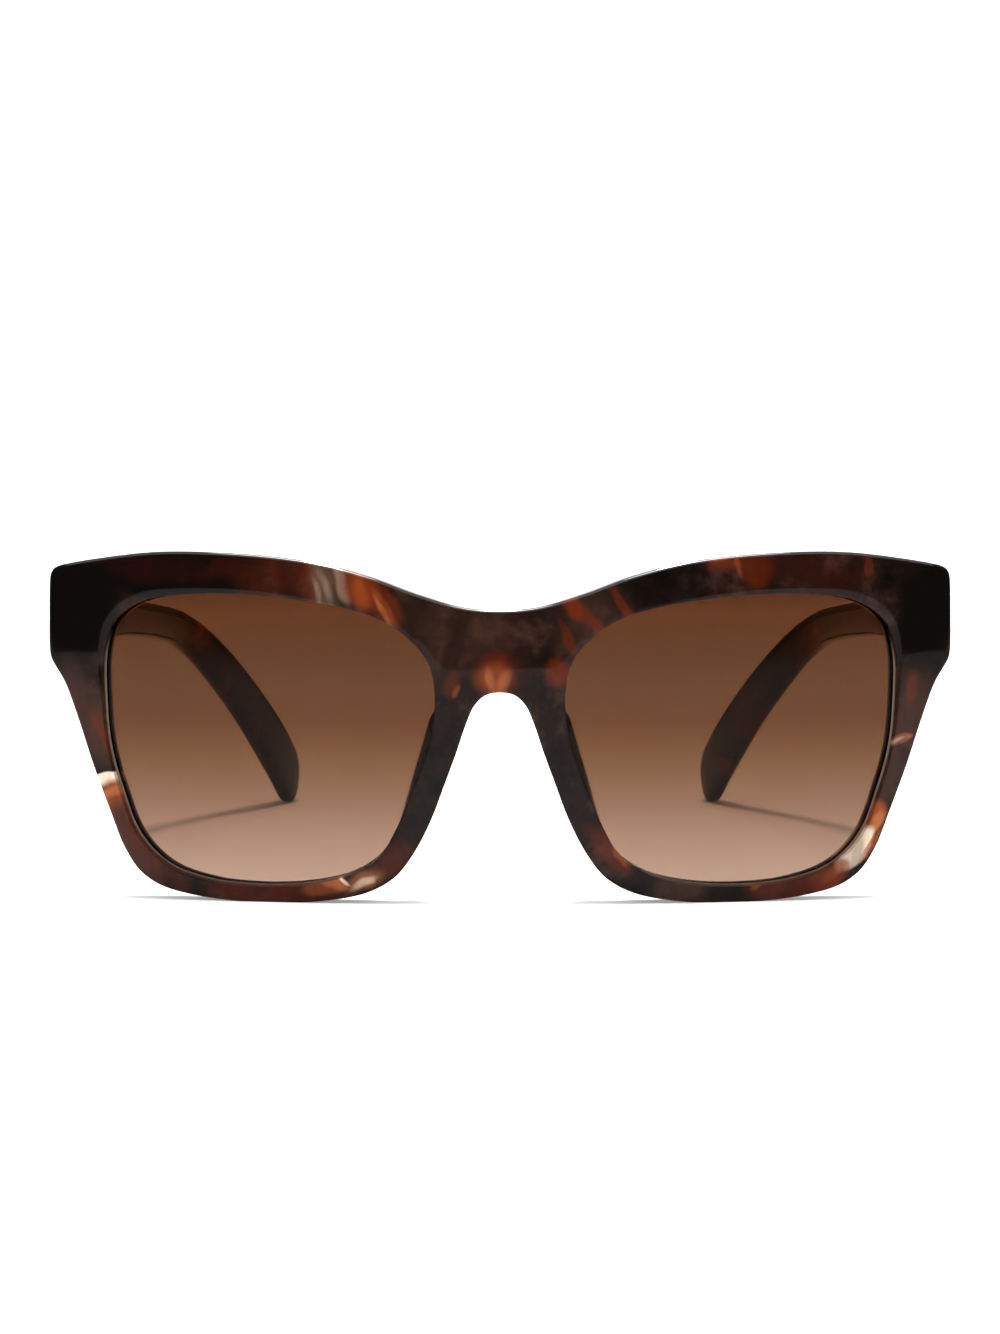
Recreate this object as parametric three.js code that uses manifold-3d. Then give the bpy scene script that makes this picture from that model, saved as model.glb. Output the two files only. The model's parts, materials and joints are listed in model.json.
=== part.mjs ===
// Cat eye sunglasses with folding temples. Millimetres, +Z up, the front faces -Y, the ear tips
// lie towards +Y, and rim bottoms and ear tips stand on z = 0. "Left" is the wearer's left, +X.
// Every left-hand piece is built once on the +X side and mirrored for the right.
import * as THREE from 'three';
import Module from 'manifold-3d';
import { mergeVertices } from 'three/addons/utils/BufferGeometryUtils.js';
import { TessellateModifier } from 'three/addons/modifiers/TessellateModifier.js';

// ---- driving dimensions -------------------------------------------------------------------------
const FRONT_THICKNESS = 5.0;
const BEND_RADIUS_X = 250;      // the front's curve around the face
const BEND_RADIUS_Z = 450;      // its much flatter curve from top to bottom
const BEND_LEVEL = 28;          // height at which the front stands upright
const LONGEST_EDGE = 8;         // longest triangle edge on the bent front

const CHAMFER_WIDTH = 1.3;      // band cut around each lens opening
const CHAMFER_DEPTH = 0.6;
const GROOVE_FRONT = 1.3;       // depths of the lens groove's two lips
const GROOVE_BACK = 3.7;
const GROOVE_SINK = 1.0;
const LENS_THICKNESS = 1.8;
const LENS_OVERLAP = 0.65;      // how far the lens reaches into the groove
const FIT_GAP = 0.3;            // between pieces that are bonded or pressed together

const HINGE = { x: 65.3, y: 16.2, z: 47.6 };   // axis of the left hinge, from the front's apex
const BARREL_RADIUS = 1.45;
const BARREL_PITCH = 1.35;
const BARREL_GAP = 0.12;
const BARREL_COUNT = 5;
const SCREW_RADIUS = 0.6;
const SCREW_HOLE_RADIUS = 0.75;
const SCREW_HEAD_RADIUS = 1.15;
const SCREW_HEAD_HEIGHT = 0.6;
const LEAF_SINK = 0.7;          // how deep a hinge leaf is let into the plastic
const LEAF_PROUD = 0.3;
const LEAF_HALF_WIDTH = 1.7;
const TEMPLE_LEAF_LENGTH = 9;
const TEMPLE_INNER_X = 67.4;    // inner face of the temple at the hinge

const BUTT_PLANE = 14.7;        // back of the end piece, where the temple butts
const WIRE_RADIUS = 0.65;
const WIRE_RECESS = 0.6;

const PAD_LENGTH = 21;
const PAD_HEIGHT = 6.2;
const PAD_THICKNESS = 3.0;

// Outline of the front's left half, x and z: from the top of the bridge over the brow, the end
// piece and the rim, and up the nose notch to its arch.
const HALF_OUTLINE = [
  [0, 47.2], [6, 47.7], [13.4, 49.8], [21.2, 52.6], [31.5, 55.0], [43.3, 56.1], [55, 56.2],
  [65, 55.0], [70.4, 54.0], [72.0, 53.5], [72.7, 52.7], [72.9, 51.2], [73.0, 45.7], [73.0, 40.8],
  [72.8, 38.9], [71.9, 37.3], [70.5, 35.0], [68.4, 29.4], [65.9, 21.7], [63.1, 14.1], [61.0, 8.7],
  [58.4, 4.6], [55.1, 2.3], [50.1, 0.9], [42.8, 0], [35.2, -0.2], [28.0, 0.3], [21.3, 1.7],
  [16.9, 4.2], [13.9, 8.0], [11.0, 13.6], [8.7, 19.7], [6.9, 24.6], [5.5, 28.8], [4.1, 32.0],
  [2.3, 33.7], [0, 34.1],
];

// Left lens opening at its front lip, x and z, anticlockwise as seen from in front.
const OPENING = [
  [51, 49.4], [41.9, 49.6], [32.7, 48.8], [23.6, 47.2], [18.1, 45.2], [14.3, 42.4], [11.4, 38.8],
  [10.4, 34.0], [10.7, 28.8], [12.3, 22.5], [14.5, 16.9], [16.6, 12.2], [19.4, 7.5], [24.4, 4.4],
  [31.6, 2.8], [40.3, 2.5], [47.4, 3.3], [53.9, 5.6], [58.7, 10.5], [61.4, 17.4], [63.4, 24.6],
  [64.1, 32.2], [64.0, 40.0], [62.4, 44.9], [57.9, 48.2],
];

// Stations of the left temple: centre x, y, z, then height and thickness of the section.
const TEMPLE_STATIONS = [
  [69.4, 15.0, 46.5, 13.8, 4.0], [69.4, 24.0, 45.4, 13.7, 4.0], [68.9, 31.0, 44.5, 12.8, 4.0],
  [67.9, 37.0, 43.9, 10.0, 3.9], [66.6, 44.0, 43.4, 7.9, 3.8], [64.4, 60.0, 41.6, 6.4, 3.6],
  [61.6, 80.0, 39.4, 6.2, 3.6], [59.1, 93.0, 37.3, 6.5, 3.6], [56.3, 101.5, 34.0, 7.1, 3.7],
  [53.1, 109.5, 28.7, 7.9, 3.8], [48.9, 119.5, 20.6, 8.7, 3.8], [44.6, 130.0, 10.4, 9.7, 3.9],
  [42.9, 135.0, 5.1, 9.0, 3.8], [42.3, 137.4, 2.3, 6.8, 3.3], [42.0, 138.6, 0.7, 3.2, 2.1],
];

const COLOURS = { acetate: 0x160d0a, lens: 0x6f4630, steel: 0x8d8a86 };

// ---- solids -------------------------------------------------------------------------------------
const wasm = await Module();
wasm.setup();

function toSolid(geometry) {
  const bare = geometry.clone();
  bare.deleteAttribute('normal');
  bare.deleteAttribute('uv');
  const merged = mergeVertices(bare, 1e-4);
  return new wasm.Manifold(new wasm.Mesh({
    numProp: 3,
    vertProperties: new Float32Array(merged.attributes.position.array),
    triVerts: new Uint32Array(merged.index.array),
  }));
}

function toGeometry(solid) {
  const mesh = solid.getMesh();
  const geometry = new THREE.BufferGeometry();
  geometry.setAttribute('position', new THREE.BufferAttribute(mesh.vertProperties, 3));
  geometry.setIndex(new THREE.BufferAttribute(mesh.triVerts, 1));
  return geometry;
}

function box(low, high) {
  const size = high.map((value, axis) => value - low[axis]);
  const geometry = new THREE.BoxGeometry(...size);
  geometry.translate(...low.map((value, axis) => value + size[axis] / 2));
  return toSolid(geometry);
}

// Everything under z = 0: what it cuts away leaves the small flats that the glasses stand on.
function belowFloor() {
  return box([-200, -200, -50], [200, 200, 0]);
}

function uprightCylinder(radius, low, high, sides) {
  const geometry = new THREE.CylinderGeometry(radius, radius, high - low, sides);
  geometry.rotateX(Math.PI / 2);
  geometry.translate(0, 0, (low + high) / 2);
  return toSolid(geometry);
}

function mirrored(geometry) {
  const copy = geometry.index ? geometry.clone() : mergeVertices(geometry, 1e-4);
  copy.scale(-1, 1, 1);
  const order = copy.index.array;
  for (let i = 0; i < order.length; i += 3) {
    [order[i], order[i + 1]] = [order[i + 1], order[i]];
  }
  return copy;
}

// ---- the front's curved sheet -------------------------------------------------------------------
// A point of the flat drawing, x and z, at a depth behind the bent front surface.
function bend(x, depth, z) {
  const rise = z - BEND_LEVEL;
  const rootX = Math.sqrt(BEND_RADIUS_X ** 2 - x ** 2);
  const rootZ = Math.sqrt(BEND_RADIUS_Z ** 2 - rise ** 2);
  const surfaceY = BEND_RADIUS_X - rootX + BEND_RADIUS_Z - rootZ;
  const inward = new THREE.Vector3(-x / rootX, 1, -rise / rootZ).normalize();
  return new THREE.Vector3(x, surfaceY, z).addScaledVector(inward, depth);
}

// A smooth closed loop through the points, as Vector2s, with so many steps between neighbours.
function smoothLoop(points, steps) {
  const knots = points.map(([x, z]) => new THREE.Vector3(x, z, 0));
  const curve = new THREE.CatmullRomCurve3(knots, true, 'centripetal');
  const samples = curve.getPoints(points.length * steps).slice(0, -1);
  return samples.map((point) => new THREE.Vector2(point.x, point.y));
}

// The loop moved sideways, to its right-hand side as it runs.
function offsetLoop(loop, distance) {
  return loop.map((point, i) => {
    const before = loop[(i + loop.length - 1) % loop.length];
    const after = loop[(i + 1) % loop.length];
    const along = after.clone().sub(before).normalize();
    return new THREE.Vector2(point.x + along.y * distance, point.y - along.x * distance);
  });
}

// Triangles between neighbouring rings of equal length: anticlockwise rings that run backwards
// give faces that point outwards.
function ringWalls(starts, count) {
  const faces = [];
  for (let ring = 0; ring + 1 < starts.length; ring += 1) {
    for (let i = 0; i < count; i += 1) {
      const next = (i + 1) % count;
      const [a, b] = [starts[ring] + i, starts[ring] + next];
      const [c, d] = [starts[ring + 1] + i, starts[ring + 1] + next];
      faces.push(a, c, b, b, c, d);
    }
  }
  return faces;
}

// A closed body through rings of Vector3s, closed by a fan at each end.
function loft(rings) {
  const count = rings[0].length;
  const points = rings.flat();
  const faces = ringWalls(rings.map((ring, k) => k * count), count);
  for (const [ring, flip] of [[0, false], [rings.length - 1, true]]) {
    const centre = rings[ring].reduce((sum, p) => sum.add(p), new THREE.Vector3());
    points.push(centre.divideScalar(count));
    for (let i = 0; i < count; i += 1) {
      const [a, b] = [ring * count + i, ring * count + ((i + 1) % count)];
      faces.push(points.length - 1, ...(flip ? [b, a] : [a, b]));
    }
  }
  const geometry = new THREE.BufferGeometry().setFromPoints(points);
  geometry.setIndex(faces);
  return geometry;
}

// ---- front frame --------------------------------------------------------------------------------
// Each wall is a list of [depth, distance outwards from the drawn line].
const EDGE_WALL = [
  [0, -1.1], [0.35, -0.35], [1.1, 0], [3.9, 0], [4.65, -0.35], [FRONT_THICKNESS, -1.0],
];
const OPENING_WALL = [
  [0, CHAMFER_WIDTH], [CHAMFER_DEPTH, 0], [GROOVE_FRONT, 0], [GROOVE_FRONT + 0.1, GROOVE_SINK],
  [GROOVE_BACK - 0.1, GROOVE_SINK], [GROOVE_BACK, 0], [4.6, 0], [FRONT_THICKNESS, 0.5],
];

function frontSheet() {
  const mirroredHalf = HALF_OUTLINE.slice(1, -1).map(([x, z]) => [-x, z]);
  const clockwise = [...HALF_OUTLINE, ...mirroredHalf.reverse()];
  const outer = smoothLoop(clockwise.reverse(), 2);
  const left = smoothLoop(OPENING, 2);
  const right = left.map((point) => new THREE.Vector2(-point.x, point.y));
  const loops = [
    { loop: outer, wall: EDGE_WALL, outwards: 1 },
    { loop: left.reverse(), wall: OPENING_WALL, outwards: -1 },
    { loop: right, wall: OPENING_WALL, outwards: -1 },
  ];

  const points = [];
  const faces = [];
  const caps = { front: [], back: [] };
  for (const { loop, wall, outwards } of loops) {
    const starts = [];
    for (const [depth, distance] of wall) {
      starts.push(points.length);
      const ring = offsetLoop(loop, distance * outwards);
      ring.forEach((point) => points.push(new THREE.Vector3(point.x, depth, point.y)));
      if (depth === 0) caps.front.push({ ring, start: starts.at(-1) });
      if (depth === FRONT_THICKNESS) caps.back.push({ ring, start: starts.at(-1) });
    }
    faces.push(...ringWalls(starts, loop.length));
  }

  for (const [side, flip] of [['front', false], ['back', true]]) {
    const [contour, ...holes] = caps[side];
    const ids = caps[side].flatMap(({ ring, start }) => ring.map((point, i) => start + i));
    const triangles = THREE.ShapeUtils.triangulateShape(contour.ring, holes.map((h) => h.ring));
    for (const [a, b, c] of triangles) {
      faces.push(ids[a], ...(flip ? [ids[c], ids[b]] : [ids[b], ids[c]]));
    }
  }

  const flat = new THREE.BufferGeometry().setFromPoints(points);
  flat.setIndex(faces);
  const fine = mergeVertices(new TessellateModifier(LONGEST_EDGE, 12).modify(flat), 1e-4);
  const place = fine.attributes.position;
  for (let i = 0; i < place.count; i += 1) {
    const bent = bend(place.getX(i), place.getY(i), place.getZ(i));
    place.setXYZ(i, bent.x, bent.y, bent.z);
  }
  return toSolid(fine);
}

// Height range of the hinge's barrels, measured from the hinge's middle.
const HINGE_HALF = (BARREL_COUNT * BARREL_PITCH - BARREL_GAP) / 2;

// Angle of the front's back surface at the hinge, seen from above.
const backAngle = Math.asin(HINGE.x / (BEND_RADIUS_X - FRONT_THICKNESS));

// The front leaf's plate, turned to lie on the front's back surface, grown by a margin.
function frontLeafPlate(margin) {
  const plate = new THREE.BoxGeometry(
    2 * (LEAF_HALF_WIDTH + margin),
    LEAF_SINK + LEAF_PROUD + 2 * margin,
    2 * (HINGE_HALF + margin),
  );
  plate.translate(0, (LEAF_PROUD - LEAF_SINK) / 2, 0);
  plate.rotateZ(backAngle);
  const surfaceRadius = BEND_RADIUS_X - FRONT_THICKNESS;
  const surfaceY = BEND_RADIUS_X - Math.sqrt(surfaceRadius ** 2 - HINGE.x ** 2);
  const lift = bend(0, 0, HINGE.z).y;
  plate.translate(0, surfaceY + lift - HINGE.y, 0);
  return toSolid(plate);
}

function frontFrame() {
  const reach = 100;
  let solid = frontSheet().subtract(belowFloor());
  for (const side of [1, -1]) {
    const mitre = box([40, BUTT_PLANE, -reach], [reach, reach, reach]);
    const pocket = frontLeafPlate(FIT_GAP).translate([HINGE.x, HINGE.y, HINGE.z]);
    const cut = toGeometry(mitre.add(pocket));
    solid = solid.subtract(toSolid(side > 0 ? cut : mirrored(cut)));
  }
  return toGeometry(solid);
}

// ---- lens ---------------------------------------------------------------------------------------
function lens() {
  const edge = smoothLoop(OPENING, 2);
  const centre = edge.reduce((sum, point) => sum.add(point), new THREE.Vector2());
  centre.divideScalar(edge.length);
  const middle = (GROOVE_FRONT + GROOVE_BACK) / 2;
  const front = middle - LENS_THICKNESS / 2;
  const back = middle + LENS_THICKNESS / 2;
  const shoulder = LENS_OVERLAP - 0.35;
  const rim = 0.3;
  // Each level is a share of the opening's size, a distance beyond it, and a depth.
  const levels = [
    [0.3, 0, front], [0.65, 0, front], [1, shoulder, front], [1, LENS_OVERLAP, middle - rim],
    [1, LENS_OVERLAP, middle + rim], [1, shoulder, back], [0.65, 0, back], [0.3, 0, back],
  ];
  const rings = levels.map(([scale, distance, depth]) => offsetLoop(edge, distance).map((point) => {
    const inner = point.clone().sub(centre).multiplyScalar(scale).add(centre);
    return bend(inner.x, depth, inner.y);
  }));
  return loft(rings);
}

// ---- temple and its core wire -------------------------------------------------------------------
const templeSpine = new THREE.CatmullRomCurve3(
  TEMPLE_STATIONS.map(([x, y, z]) => new THREE.Vector3(x, y, z)), false, 'centripetal');
const templeSizes = new THREE.CatmullRomCurve3(
  TEMPLE_STATIONS.map(([, , , height, thickness]) => new THREE.Vector3(height, thickness, 0)));

// Outward and upward directions of the section at t: upright at the hinge, square to the
// spine once the temple is clear of the end piece.
function templeAxes(t) {
  const along = templeSpine.getTangent(t);
  const clear = THREE.MathUtils.smoothstep(t, 0.1, 0.3);
  const slope = Math.atan2(-along.z, Math.hypot(along.x, along.y)) * clear;
  const inward = Math.atan2(-along.x, along.y) * clear;
  const outward = new THREE.Vector3(Math.cos(inward), Math.sin(inward), 0);
  const ahead = new THREE.Vector3(-Math.sin(inward), Math.cos(inward), 0);
  const up = ahead.multiplyScalar(Math.sin(slope)).setZ(Math.cos(slope));
  return { outward, up };
}

// A ring of the section at t: squareness 2 is an ellipse, larger is nearer a rectangle.
function templeRing(t, width, height, squareness, sides) {
  const centre = templeSpine.getPoint(t);
  const { outward, up } = templeAxes(t);
  return Array.from({ length: sides }, (unused, i) => {
    const angle = (2 * Math.PI * (i + 0.5)) / sides;
    const [c, s] = [Math.cos(angle), Math.sin(angle)];
    const a = Math.sign(c) * Math.abs(c) ** (2 / squareness) * width / 2;
    const b = Math.sign(s) * Math.abs(s) ** (2 / squareness) * height / 2;
    return centre.clone().addScaledVector(outward, a).addScaledVector(up, b);
  });
}

// A round rod along the temple's spine, from the butt face to station t = end. Its first ring
// is moved back by a distance, or forwards if that is negative.
function spineRod(radius, setBack, end) {
  const steps = 26;
  const rings = Array.from({ length: steps + 1 }, (unused, k) => (
    templeRing((end * k) / steps, 2 * radius, 2 * radius, 2, 8)));
  rings[0].forEach((point) => point.setY(point.y + setBack));
  return toSolid(loft(rings));
}

function templeLeafPocket(margin) {
  return box(
    [LEAF_HALF_WIDTH - margin, -0.6 - margin, -HINGE_HALF - margin],
    [TEMPLE_INNER_X - HINGE.x + LEAF_SINK + margin, TEMPLE_LEAF_LENGTH + margin, HINGE_HALF + margin],
  );
}

const WIRE_END = 0.8;           // share of the stations that the core wire reaches

function temple() {
  const steps = 36;
  const rings = Array.from({ length: steps + 1 }, (unused, k) => {
    const t = k / steps;
    const size = templeSizes.getPoint(t);
    const squareness = THREE.MathUtils.lerp(6, 3, THREE.MathUtils.smoothstep(t, 0.1, 0.3));
    return templeRing(t, size.y, size.x, squareness, 14);
  });
  return toSolid(loft(rings))
    .subtract(belowFloor())
    .subtract(spineRod(WIRE_RADIUS + FIT_GAP, -0.5, WIRE_END + 0.004))
    .subtract(templeLeafPocket(FIT_GAP).translate([HINGE.x, HINGE.y, HINGE.z]));
}

function coreWire() {
  return spineRod(WIRE_RADIUS, WIRE_RECESS, WIRE_END);
}

// ---- hinge, drawn about its own axis ------------------------------------------------------------
// Join the barrels whose numbers are given to a leaf by their webs, and bore them for the screw.
function hingeHalf(plate, barrels, webLow, webHigh) {
  let solid = plate;
  for (const number of barrels) {
    const low = -HINGE_HALF + number * BARREL_PITCH;
    const high = low + BARREL_PITCH - BARREL_GAP;
    solid = solid.add(uprightCylinder(BARREL_RADIUS, low, high, 20));
    solid = solid.add(box([...webLow, low], [...webHigh, high]));
  }
  return solid.subtract(uprightCylinder(SCREW_HOLE_RADIUS, -10, 10, 16));
}

function frontLeaf() {
  return hingeHalf(frontLeafPlate(0), [0, 2, 4], [-1.4, -2.1], [1.4, 0]);
}

function templeLeaf() {
  return hingeHalf(templeLeafPocket(0), [1, 3], [0, -0.6], [2.2, BARREL_RADIUS]);
}

function hingeScrew() {
  const headBottom = HINGE_HALF + BARREL_GAP;
  const headTop = headBottom + SCREW_HEAD_HEIGHT;
  const slot = box([-2, -0.16, headTop - 0.3], [2, 0.16, headTop + 1]);
  return uprightCylinder(SCREW_RADIUS, -HINGE_HALF, headBottom + 0.1, 16)
    .add(uprightCylinder(SCREW_HEAD_RADIUS, headBottom, headTop, 20))
    .subtract(slot);
}

// ---- nose pad -----------------------------------------------------------------------------------
// A half-moon cut from sheet: its straight side is bonded to the rim's back, its flat inner face
// bears on the nose, and it leans outwards as it runs back.
const PAD_CENTRE = { x: 10.2, z: 20.6 };
const PAD_SLANT = THREE.MathUtils.degToRad(20);   // of the pad's long side from upright
const PAD_LEAN = THREE.MathUtils.degToRad(24);    // of the bearing face from straight back
const PAD_OUTER = { x: 13.5, z: 22, slant: THREE.MathUtils.degToRad(16.1) };

function nosePad() {
  const half = PAD_LENGTH / 2;
  const root = -2.5;
  const outline = new THREE.Shape();
  outline.moveTo(-half, root);
  outline.lineTo(half, root);
  outline.bezierCurveTo(half, PAD_HEIGHT * 0.55, half * 0.55, PAD_HEIGHT, -half * 0.1, PAD_HEIGHT);
  outline.bezierCurveTo(-half * 0.8, PAD_HEIGHT, -half, PAD_HEIGHT * 0.4, -half, root);
  const bevel = 0.7;
  const sheet = new THREE.ExtrudeGeometry(outline, {
    depth: PAD_THICKNESS - 2 * bevel,
    bevelThickness: bevel,
    bevelSize: bevel,
    bevelOffset: -bevel,
    bevelSegments: 2,
    curveSegments: 8,
  });
  sheet.translate(0, 0, bevel);
  const down = new THREE.Vector3(Math.sin(PAD_SLANT), 0, -Math.cos(PAD_SLANT));
  const outward = new THREE.Vector3(Math.cos(PAD_SLANT), 0, Math.sin(PAD_SLANT));
  const back = new THREE.Vector3(0, Math.cos(PAD_LEAN), 0)
    .addScaledVector(outward, Math.sin(PAD_LEAN));
  const across = new THREE.Vector3().crossVectors(down, back);
  sheet.applyMatrix4(new THREE.Matrix4().makeBasis(down, back, across));
  const foot = bend(PAD_CENTRE.x, FRONT_THICKNESS, PAD_CENTRE.z);
  sheet.translate(foot.x, foot.y, foot.z);

  const rim = new THREE.BoxGeometry(60, 40, 60);
  rim.translate(0, FIT_GAP - 20, 0);
  rim.rotateZ(Math.asin(foot.x / BEND_RADIUS_X));
  rim.translate(foot.x, foot.y, foot.z);

  // The side away from the nose runs straight back, so that the pad thins towards its edge.
  const waste = new THREE.BoxGeometry(20, 60, 60);
  waste.translate(10, 0, 0);
  waste.rotateY(-PAD_OUTER.slant);
  waste.translate(PAD_OUTER.x, foot.y, PAD_OUTER.z);
  return toGeometry(toSolid(sheet).subtract(toSolid(rim)).subtract(toSolid(waste)));
}

// ---- assembly -----------------------------------------------------------------------------------
const finishes = {
  acetate: { color: COLOURS.acetate, roughness: 0.12, metalness: 0 },
  lens: { color: COLOURS.lens, roughness: 0.03, metalness: 0, transparent: true, opacity: 0.7 },
  steel: { color: COLOURS.steel, roughness: 0.3, metalness: 1 },
};

const sunglasses = new THREE.Group();

function addPiece(name, geometry, finish) {
  const mesh = new THREE.Mesh(geometry, new THREE.MeshStandardMaterial(finishes[finish]));
  mesh.name = name;
  sunglasses.add(mesh);
}

function addPair(name, geometry, finish) {
  addPiece(`${name}_left`, geometry, finish);
  addPiece(`${name}_right`, mirrored(geometry), finish);
}

function atHinge(solid) {
  return toGeometry(solid.translate([HINGE.x, HINGE.y, HINGE.z]));
}

addPiece('front_frame', frontFrame(), 'acetate');
addPair('lens', lens(), 'lens');
addPair('nose_pad', nosePad(), 'acetate');
addPair('temple', toGeometry(temple()), 'acetate');
addPair('core_wire', toGeometry(coreWire()), 'steel');
addPair('hinge_front_leaf', atHinge(frontLeaf()), 'steel');
addPair('hinge_temple_leaf', atHinge(templeLeaf()), 'steel');
addPair('hinge_screw', atHinge(hingeScrew()), 'steel');

// The origin goes to the middle of the footprint, on the floor.
const extent = new THREE.Box3().setFromObject(sunglasses);
sunglasses.position.y = -(extent.min.y + extent.max.y) / 2;
sunglasses.updateMatrixWorld(true);

export default sunglasses;
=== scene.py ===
"""Cat eye sunglasses standing open on a white table: the visible pieces, their finishes and the studio."""

import json
import math

import bpy
import numpy as np
from mathutils.geometry import delaunay_2d_cdt
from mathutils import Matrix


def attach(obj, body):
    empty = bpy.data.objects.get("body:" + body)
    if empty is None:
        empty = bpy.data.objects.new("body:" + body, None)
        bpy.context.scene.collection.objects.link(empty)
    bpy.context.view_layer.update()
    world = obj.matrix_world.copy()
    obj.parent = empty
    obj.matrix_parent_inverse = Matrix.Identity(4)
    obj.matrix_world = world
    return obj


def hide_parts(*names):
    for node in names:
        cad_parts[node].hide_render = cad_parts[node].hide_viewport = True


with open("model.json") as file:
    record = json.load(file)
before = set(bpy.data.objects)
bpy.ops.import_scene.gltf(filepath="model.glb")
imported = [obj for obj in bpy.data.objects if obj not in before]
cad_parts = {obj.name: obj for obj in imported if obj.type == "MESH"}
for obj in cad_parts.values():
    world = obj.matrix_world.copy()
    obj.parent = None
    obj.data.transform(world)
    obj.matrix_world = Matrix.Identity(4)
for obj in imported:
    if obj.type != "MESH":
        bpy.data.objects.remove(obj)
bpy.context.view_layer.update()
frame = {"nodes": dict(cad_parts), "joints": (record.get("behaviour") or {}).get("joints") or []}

JOINTS = {joint["name"]: joint for joint in frame["joints"]}

# ---- sizes, in millimetres, as in the CAD model -------------------------------------------------
MM = 0.001
HINGE_DEPTH = 16.2              # from the front's foremost point back to the hinge axes
HINGE = np.array(JOINTS["left_temple_fold"]["pos_m"]) / MM
FRONT_Y = HINGE[1] - HINGE_DEPTH

FRONT_THICKNESS = 5.0
BEND_RADIUS_X = 250             # seen from above
BEND_RADIUS_Z = 450             # seen from the side
BEND_LEVEL = 28                 # height where the bent front stands upright
BUTT_PLANE = 14.7               # back of the end pieces, measured like HINGE_DEPTH

FRONT_ROUNDING = 0.5            # of the front's outer edges
BACK_ROUNDING = 0.8
ROUNDING_STEPS = 7              # rings over each of these edges
FACE_SUPPORT = 0.35             # from a rounded edge in to a flat ring that keeps its shading clean
WALL_SUPPORT = 0.3              # the same on the wall
CHAMFER_LEAST = 0.12            # width of the polished break around each opening
CHAMFER_BROW = 0.42             # more of it under the brow
BROW_LEVELS = (38, 47)          # heights over which that grows
BROW_SIDES = (22, 44)           # distances from the middle over which it grows
CHAMFER_CORNER = 0.5            # and more again around the outer top corner
CORNER_REACH = 11
OPENING_CORNER = (61.5, 45)
# The chamfer's rings: how far out from the opening and how deep, in widths of the chamfer.
CHAMFER_PROFILE = [(1.35, 0.0), (1.12, 0.02), (0.9, 0.09), (0.45, 0.30), (0.1, 0.46), (0.0, 0.56)]
# The broken edge behind each opening: how far out, and how far from the back face.
BACK_BREAK = [(0.0, 0.35), (0.12, 0.1), (0.4, 0.0)]
GROOVE_FRONT = 1.3
GROOVE_BACK = 3.7
GROOVE_SINK = 1.0
GROOVE_TAPER = 0.1
LENS_THICKNESS = 1.8
LENS_OVERLAP = 0.65             # how far the lens reaches into its groove
LENS_SHOULDER = (0.35, 0.18)    # how far a ring is short of the lens's edge and below its face
LENS_EDGE_HALF = 0.25           # half the thickness of the lens at its edge
LENS_BEVEL = 0.3                # width of the band beside the rim where a highlight is painted
LENS_BLEND = 0.06               # over which that band fades in
LENS_GAP = 0.02                 # from the lens's flat faces to the opening's wall

END_PIECE_START = 40            # distance from the middle where the square backs may start
TOP_EDGE_LEVELS = (40, 46)      # heights where the painted highlight along the brow's top edge fades in
TOP_EDGE_HALF = 70              # half its length

LOOP_STEP = 0.5                 # spacing of points along outlines
FACE_STEP = 1.7                 # spacing of points inside the front's faces
SHARP_ANGLE = math.radians(28)  # edges with a larger angle stay sharp

# Half of the front's outline and the left opening, as x and z in the front's flat drawing.
HALF_OUTLINE = [
    (0, 47.2), (6, 47.7), (13.4, 49.8), (21.2, 52.6), (31.5, 55.0), (43.3, 56.1), (55, 56.2),
    (65, 55.0), (70.4, 54.0), (72.0, 53.5), (72.7, 52.7), (72.9, 51.2), (73.0, 45.7), (73.0, 40.8),
    (72.8, 38.9), (71.9, 37.3), (70.5, 35.0), (68.4, 29.4), (65.9, 21.7), (63.1, 14.1), (61.0, 8.7),
    (58.4, 4.6), (55.1, 2.3), (50.1, 0.9), (42.8, 0), (35.2, -0.2), (28.0, 0.3), (21.3, 1.7),
    (16.9, 4.2), (13.9, 8.0), (11.0, 13.6), (8.7, 19.7), (6.9, 24.6), (5.5, 28.8), (4.1, 32.0),
    (2.3, 33.7), (0, 34.1),
]
OPENING = [
    (51, 49.4), (41.9, 49.6), (32.7, 48.8), (23.6, 47.2), (18.1, 45.2), (14.3, 42.4), (11.4, 38.8),
    (10.4, 34.0), (10.7, 28.8), (12.3, 22.5), (14.5, 16.9), (16.6, 12.2), (19.4, 7.5), (24.4, 4.4),
    (31.6, 2.8), (40.3, 2.5), (47.4, 3.3), (53.9, 5.6), (58.7, 10.5), (61.4, 17.4), (63.4, 24.6),
    (64.1, 32.2), (64.0, 40.0), (62.4, 44.9), (57.9, 48.2),
]
# Stations of the left temple: centre x, depth behind the front's foremost point, z, then the
# section's height and thickness.
TEMPLE_STATIONS = [
    (69.4, 15.0, 46.5, 13.8, 4.0), (69.4, 24.0, 45.4, 13.7, 4.0), (68.9, 31.0, 44.5, 12.8, 4.0),
    (67.9, 37.0, 43.9, 10.0, 3.9), (66.6, 44.0, 43.4, 7.9, 3.8), (64.4, 60.0, 41.6, 6.4, 3.6),
    (61.6, 80.0, 39.4, 6.2, 3.6), (59.1, 93.0, 37.3, 6.5, 3.6), (56.3, 101.5, 34.0, 7.1, 3.7),
    (52.8, 110.0, 28.7, 7.9, 3.8), (48.2, 120.4, 20.6, 8.8, 3.8), (43.4, 131.5, 10.4, 9.8, 3.9),
    (40.6, 139.4, 2.8, 9.7, 3.9),
]
TEMPLE_STEP = 0.7               # spacing of the temple's sections
TEMPLE_SIDES = 56               # points around each of them
TIP_LENGTH = 5.2                # the last of the temple, which closes in a round
TIP_POWER = 2.4                 # power of that round: 2 is a circle, more is squarer
TIP_SHEAR = 0.42                # how far its upper edge stops short of its lower edge
SHEAR_REACH = 18                # length over which that grows
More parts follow.
